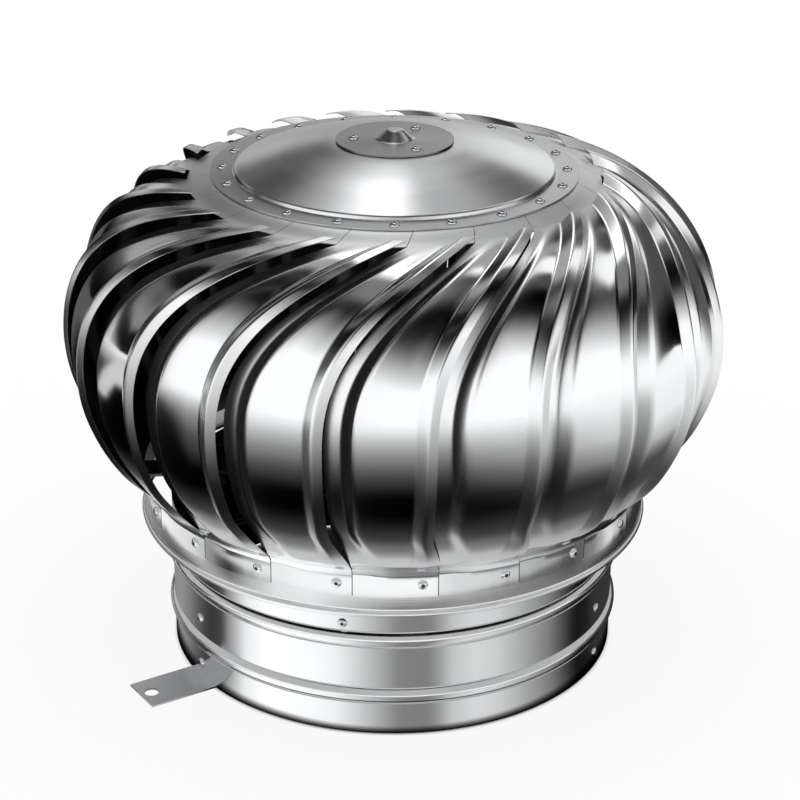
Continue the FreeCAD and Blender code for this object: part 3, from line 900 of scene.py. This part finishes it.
class COWL_OT_rivets(bpy.types.Operator):
    """Set the blind rivets of the vanes, the disc, the straps and the spider"""

    bl_idname = "cowl.rivets"
    bl_label = "Rivets"

    FIRST_HEAD = 36.0
    STRAPS = (-57.4, 64.4, 183.5)
    STRAP_PAIR = (10.6, 44.5)

    def execute(self, context):
        satin = context.scene.cowl_finishes.satin
        # Rivet heads, and painted shade in their holes.
        materials = (rivet_steel(satin), dull_with_painted_shade(satin))
        feet = [(FIRST_VANE + index * PITCH, TAB_RADIUS, FOOT + 116.8, False) for index in range(VANES)]
        heads = [(self.FIRST_HEAD + index * PITCH, 110.4, FOOT + FLANGE, True) for index in range(VANES)]
        disc = [(30 + index * 120, 26.4, FOOT + DISC_FACE, True) for index in range(3)]
        straps = [(turn, NECK_RADIUS, FOOT + up, False) for turn in self.STRAPS for up in self.STRAP_PAIR]
        spider = [(-12 + index * 120, NECK_RADIUS, FOOT + 78.3, False) for index in range(3)]
        rivet_group("rivets_feet", feet, materials, "rotor", ["foot_rivets"])
        rivet_group("rivets_heads", heads, materials, "rotor", ["head_rivets"])
        rivet_group("rivets_disc", disc, materials, "rotor", ["disc_rivets"])
        rivet_group("rivets_straps", straps, materials, "neck", ["strap_rivets"])
        rivet_group("rivets_spider", spider, materials, "neck", ["spider_rivets"])
        return {"FINISHED"}


class COWL_OT_inner_frame(bpy.types.Operator):
    """Finish the straps, the spider, the spindle, the cross and the bearings, whose shapes stay"""

    bl_idname = "cowl.inner_frame"
    bl_label = "Inner frame"

    def execute(self, context):
        finishes = context.scene.cowl_finishes
        brushed = brushed_stainless(finishes.satin)
        mill = mill_steel(finishes.mill)
        bronze = bearing_bronze(finishes.bronze)
        chosen = {
            "foot_strap_left": brushed,
            "foot_strap_back": brushed,
            "strap_plate_right": brushed,
            "neck_spider": mill,
            "rotor_cross": mill,
            "spindle": mill,
            "spindle_tail_nut": mill,
            "spindle_head_nut": mill,
            "upper_hub": bronze,
            "lower_bush": bronze,
        }
        for name, material in chosen.items():
            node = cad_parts[name]
            for slot in node.material_slots:
                slot.material = material
        return {"FINISHED"}


class COWL_OT_studio(bpy.types.Operator):
    """Set the camera, the pale floor, and the card and tent that only the polished metal mirrors"""

    bl_idname = "cowl.studio"
    bl_label = "Studio"

    # Tones of the floor by the azimuth at which the neck, the ring and the foot tabs mirror it to the front
    BY_NECK = [
        (-180, 0.3), (-78, 0.6), (-69, 0.5), (-63, 0.37), (-57, 0.25), (-51, 0.27), (-48, 0.6), (-41, 1.0),
        (-34, 1.1), (-20, 1.08), (-14, 1.03), (-9, 0.9), (-3, 0.72), (2, 0.54), (9, 0.53), (12, 0.66), (15, 0.83),
        (21, 0.91), (27, 0.88), (33, 0.77), (39, 0.64), (45, 0.52), (51, 0.32), (57, 0.12), (63, 0.14), (69, 0.22),
        (180, 0.25),
    ]
    BY_RING = [
        (-180, 0.3), (-78, 1.1), (-63, 1.0), (-51, 0.9), (-45, 0.55), (-40, 0.16), (-35, 0.62), (-27, 0.93),
        (-18, 0.95), (-9, 0.72), (-3, 0.52), (3, 0.33), (9, 0.38), (15, 0.56), (27, 0.5), (39, 0.42), (45, 0.33),
        (54, 0.6), (60, 0.95), (69, 0.7), (76, 0.3), (180, 0.28),
    ]
    BY_TABS = [
        (-180, 0.35), (-100, 0.4), (-75, 0.6), (-63, 0.35), (-57, 0.5), (-48, 0.55), (-42, 0.75), (-36, 0.93),
        (-20, 1.04), (8, 1.06), (13, 0.92), (21, 0.9), (27, 0.84), (33, 0.74), (40, 0.68), (45, 0.45), (51, 0.28),
        (57, 0.34), (75, 0.27), (180, 0.3),
    ]
    # Zones of the floor, the outermost first, in metres: outer limit, softness, the mirror's radius, tones
    ZONES = [(0.62, 0.1, 0.168, BY_TABS), (0.3655, 0.008, 0.168, BY_RING), (0.328, 0.02, 0.15, BY_NECK)]
    FULL_TONE = 1.1
    # Tones of the card by distance, as shares of its radius: the first, the last, then those between
    CARD_RADIUS = 1.6
    CARD_HOLE = 0.174
    CARD_HEIGHT = 0.135
    CARD_FRONT = [
        (0.0, 0.8), (1.0, 1.0), (0.113, 0.8), (0.119, 0.3), (0.14, 0.04), (0.158, 0.05), (0.18, 0.22), (0.232, 0.48),
        (0.31, 0.68), (0.42, 0.83), (0.62, 0.97),
    ]
    CARD_RIGHT = [
        (0.0, 0.6), (1.0, 1.0), (0.11, 0.6), (0.122, 0.28), (0.14, 0.3), (0.15, 0.46), (0.166, 0.75), (0.21, 0.95),
        (0.4, 1.0),
    ]
    # By azimuth, how far the tent's pale front cloth is raised, and its tones from its foot to its top
    CLOTH_TOP = [
        (-180, 0.25), (-100, 0.25), (-74, 0.42), (-40, 0.8), (-18, 0.5), (5, 0.25), (25, 0.45), (45, 0.6), (70, 0.3),
        (90, 0.05), (180, 0.05),
    ]
    CLOTH = [(0.0, 1.0), (1.0, 0.1), (0.24, 1.0), (0.41, 0.66), (0.6, 0.14), (0.7, 0.04)]
    # Patches of the tent in degrees: (from, to, softness) by height and by azimuth, on both sides or not, tone
    LOW_PATCHES = [
        ((16, 60, 16), (-150, -100, 20), False, 0.42),
        ((-90, 10, 16), (-166, -122, 10), False, 0.08),
        ((-28, 24, 12), (-122, -84, 8), False, 0.55),
        ((-26, 14, 10), (-116, -111, 4), False, 0.95),
        ((-20, 14, 14), (98, 126, 10), False, 0.03),
        ((-30, -4, 10), (134, 154, 8), False, 0.06),
    ]
    HIGH_PATCHES = [
        ((20, 34, 8), (-174, -152, 6), False, 0.34),
        ((32, 48, 8), (-165, -150, 8), False, 0.16),
        ((30, 50, 8), (150, 168, 8), False, 0.2),
        ((48, 70, 8), (140, 200, 16), True, 0.66),
    ]
    LEFT_PATCHES = [
        ((36, 68, 8), (-120, -98, 6), False, 0.1),
        ((20, 38, 6), (-142, -122, 6), False, 0.66),
    ]

    def execute(self, context):
        scene = context.scene
        scene.view_settings.view_transform = "Standard"
        self.camera(scene)
        self.floor()
        self.collar_card()
        self.tent()
        self.world(scene)
        return {"FINISHED"}

    def camera(self, scene):
        sizes = scene.cowl_studio
        camera_data = bpy.data.cameras.new("camera")
        camera_data.lens = sizes.lens
        camera_data.sensor_width = 36
        camera = bpy.data.objects.new("camera", camera_data)
        scene.collection.objects.link(camera)
        camera.matrix_world = (
            Matrix.Translation((0, -sizes.distance, sizes.height))
            @ Matrix.Rotation(-sizes.yaw, 4, "Z")
            @ Matrix.Rotation(math.radians(90) - sizes.pitch, 4, "X")
            @ Matrix.Rotation(sizes.roll, 4, "Z")
        )
        scene.camera = camera

    def floor(self):
        """A pale floor that keeps the cowl's shadow, and on which mirrored rays see the tones of its zones."""
        flat = bmesh.new()
        bmesh.ops.create_circle(flat, cap_ends=True, segments=96, radius=3)
        finish = Finish("pale_floor")
        across, along, _ = finish.axes(finish.place())
        distance = (across * across + along * along) ** 0.5
        azimuth = finish.azimuth(across, along)
        rays = finish.add("ShaderNodeLightPath")
        seen = Wire(finish, rays.outputs["Is Camera Ray"]) + Wire(finish, rays.outputs["Is Transmission Ray"])
        mirrored = Wire(finish, rays.outputs["Is Glossy Ray"])
        far = ((distance - 0.25) / 0.6).clamped()
        outside_neck = ((distance - 0.148) / 0.004).clamped()
        matte = finish.wire("ShaderNodeBsdfDiffuse", inputs={"Color": (0.93, 0.93, 0.93, 1)})
        white = finish.wire("ShaderNodeEmission", inputs={"Color": (1, 1, 1, 1), "Strength": 1.0})
        whiteness = seen * outside_neck * (far * 0.15 + 0.85)
        plain = finish.wire("ShaderNodeMixShader", inputs={0: whiteness, 1: matte, 2: white})
        tone = laid(0.2, azimuth.band(-92, 96, 12), 1.02)
        for limit, soft, radius, tones in self.ZONES:
            own_azimuth = azimuth / (distance**-1.0 * -radius + 2.0)
            tone = laid(tone, distance.band(-1, limit, soft), self.around_axis(finish, own_azimuth, tones))
        # Painted shade: mirrored rays see the floor nearly black inside the neck and up to its foot.
        tone = tone * (((distance - 0.152) / 0.008).clamped() * 0.95 + 0.05)
        mixed = finish.wire("ShaderNodeMixShader", inputs={0: mirrored, 1: plain, 2: finish.glow(tone)})
        self.stood("floor", flat, finish.surface(mixed))

    def around_axis(self, finish, azimuth, stops):
        """A tone by azimuth, from a short list of stops."""
        places = [(place / 360 + 0.5, tone / self.FULL_TONE) for place, tone in stops]
        ordered = [places[0], places[-1]] + places[1:-1]
        return finish.ramp(ordered, azimuth / 360 + 0.5) * self.FULL_TONE

    def collar_card(self):
        """A flat ring above the foot tabs, seen only in the vanes, with a pale underside."""
        card = bmesh.new()
        bmesh.ops.create_circle(card, cap_ends=False, segments=96, radius=self.CARD_RADIUS)
        inner = bmesh.ops.extrude_edge_only(card, edges=card.edges[:])
        verts = [item for item in inner["geom"] if isinstance(item, bmesh.types.BMVert)]
        share = self.CARD_HOLE / self.CARD_RADIUS
        bmesh.ops.scale(card, verts=verts, vec=Vector((share, share, 1)))
        bmesh.ops.translate(card, verts=verts, vec=(0, 0, -0.005))
        bmesh.ops.translate(card, verts=card.verts, vec=(0, 0, self.CARD_HEIGHT))
        bmesh.ops.recalc_face_normals(card, faces=card.faces)
        if card.faces[:][0].normal.z < 0:
            bmesh.ops.reverse_faces(card, faces=card.faces)
        finish = Finish("collar_card")
        across, along, _ = finish.axes(finish.place())
        distance = (across * across + along * along) ** 0.5
        azimuth = finish.azimuth(across, along)
        shift = azimuth.band(-200, -62, 30) * -0.3
        reach = (distance + shift * ((distance - 0.2) / 0.06).clamped()).most(distance.least(0.226))
        tone = finish.ramp(self.CARD_FRONT, reach / self.CARD_RADIUS) * 1.03
        to_the_right = ((azimuth - 12) / 60).clamped()
        tone = laid(tone, to_the_right, finish.ramp(self.CARD_RIGHT, distance / self.CARD_RADIUS) * 1.05)
        tone = laid(tone, azimuth.size().band(118, 200, 16), 0.36)
        tone = laid(tone, azimuth.band(-97, -87, 4) * distance.band(0.33, 9, 0.03), 0.85)
        underside = finish.wire("ShaderNodeNewGeometry", output="Backfacing")
        tone = laid(tone, underside, 0.75)
        self.mirrored_only(self.stood("collar_card", card, finish.surface(finish.glow(tone))))

    def tent(self):
        """A large sphere, seen only in the metal, with tones by height and azimuth."""
        shell = bmesh.new()
        bmesh.ops.create_uvsphere(shell, u_segments=64, v_segments=32, radius=4)
        finish = Finish("tent_cloth")
        place = finish.wire("ShaderNodeVectorMath", {"operation": "NORMALIZE"}, {0: finish.place()})
        across, along, up = finish.axes(place)
        azimuth = finish.azimuth(across, along)
        height = finish.wire("ShaderNodeMath", {"operation": "ARCSINE"}, {0: up}) * (180 / math.pi)
        behind = azimuth.size()

        def patched(tone, patches):
            for heights, turns, both_sides, level in patches:
                turned_to = behind if both_sides else azimuth
                tone = laid(tone, height.band(*heights) * turned_to.band(*turns), level)
            return tone

        tone = patched(laid(0.32, azimuth.band(-200, 40, 40), 0.24), self.LOW_PATCHES)
        raised = self.around_axis(finish, azimuth, self.CLOTH_TOP) * 40
        cloth = finish.ramp(self.CLOTH, (height - raised + 12) / 90)
        tone = laid(tone, height.band(-40, 72, 10) * azimuth.band(-88, 96, 14), cloth * 1.08)
        tone = laid(tone, height.band(-30, 4, 8) * behind.band(160, 200, 10), 0.85)
        right = (across / 0.16 + 0.5).clamped()
        tone = laid(tone, height.band(6, 52, 10) * behind.band(150, 200, 12), right * 0.2 + 0.76)
        tone = patched(tone, self.HIGH_PATCHES)
        tone = laid(tone, height.band(78, 100, 8), 0.5)
        tone = patched(tone, self.LEFT_PATCHES)
        dark_bar = (azimuth + height * 0.8).band(-106, -94, 5) * height.band(-4, 46, 8)
        tone = laid(tone, dark_bar, 0.1)
        bright_bar = height.band(37, 72, 6) * (azimuth - height * 0.6).band(82, 106, 8)
        tone = laid(tone, bright_bar, 1.05)
        back = (azimuth.band(-190, -166, 7) + behind.band(175, 190, 4)).least(1.0)
        tone = laid(tone, height.band(46, 80, 12) * back, 1.35)
        self.mirrored_only(self.stood("reflection_tent", shell, finish.surface(finish.glow(tone))))

    def world(self, scene):
        world = bpy.data.worlds.new("studio")
        scene.world = world
        world.use_nodes = True
        background = world.node_tree.nodes["Background"]
        background.inputs["Color"].default_value = (1, 1, 1, 1)
        background.inputs["Strength"].default_value = 1.0

    def stood(self, name, shape, material):
        """Make a finished bmesh an object of the studio, with this material."""
        mesh = bpy.data.meshes.new(name)
        shape.to_mesh(mesh)
        shape.free()
        mesh.materials.append(material)
        piece = bpy.data.objects.new(name, mesh)
        bpy.context.scene.collection.objects.link(piece)
        return piece

    def mirrored_only(self, piece):
        piece.visible_camera = False
        piece.visible_diffuse = False
        piece.visible_shadow = False


class COWL_PT_panel(bpy.types.Panel):
    """Sizes, finishes and one button for each step"""

    bl_label = "Chimney Cowl"
    bl_space_type = "VIEW_3D"
    bl_region_type = "UI"
    bl_category = "Cowl"

    def draw(self, context):
        for group in (context.scene.cowl_vane, context.scene.cowl_finishes, context.scene.cowl_studio):
            box = self.layout.box()
            for name in group.__annotations__:
                box.prop(group, name)
        for operator in STEPS:
            self.layout.operator(operator.bl_idname)


GROUPS = {"cowl_vane": CowlVaneSizes, "cowl_finishes": CowlFinishes, "cowl_studio": CowlStudioSizes}
STEPS = (
    COWL_OT_studio,
    COWL_OT_neck,
    COWL_OT_ring,
    COWL_OT_cap,
    COWL_OT_disc,
    COWL_OT_vanes,
    COWL_OT_rivets,
    COWL_OT_inner_frame,
)


def register():
    for group in GROUPS.values():
        bpy.utils.register_class(group)
    for name, group in GROUPS.items():
        setattr(bpy.types.Scene, name, bpy.props.PointerProperty(type=group))
    for operator in STEPS:
        bpy.utils.register_class(operator)
    bpy.utils.register_class(COWL_PT_panel)


def unregister():
    bpy.utils.unregister_class(COWL_PT_panel)
    for operator in reversed(STEPS):
        bpy.utils.unregister_class(operator)
    for name, group in GROUPS.items():
        delattr(bpy.types.Scene, name)
        bpy.utils.unregister_class(group)


def main():
    register()
    bpy.ops.cowl.studio()
    bpy.ops.cowl.neck()
    bpy.ops.cowl.ring()
    bpy.ops.cowl.cap()
    bpy.ops.cowl.disc()
    bpy.ops.cowl.vanes()
    bpy.ops.cowl.rivets()
    bpy.ops.cowl.inner_frame()


if __name__ == "__main__":
    main()
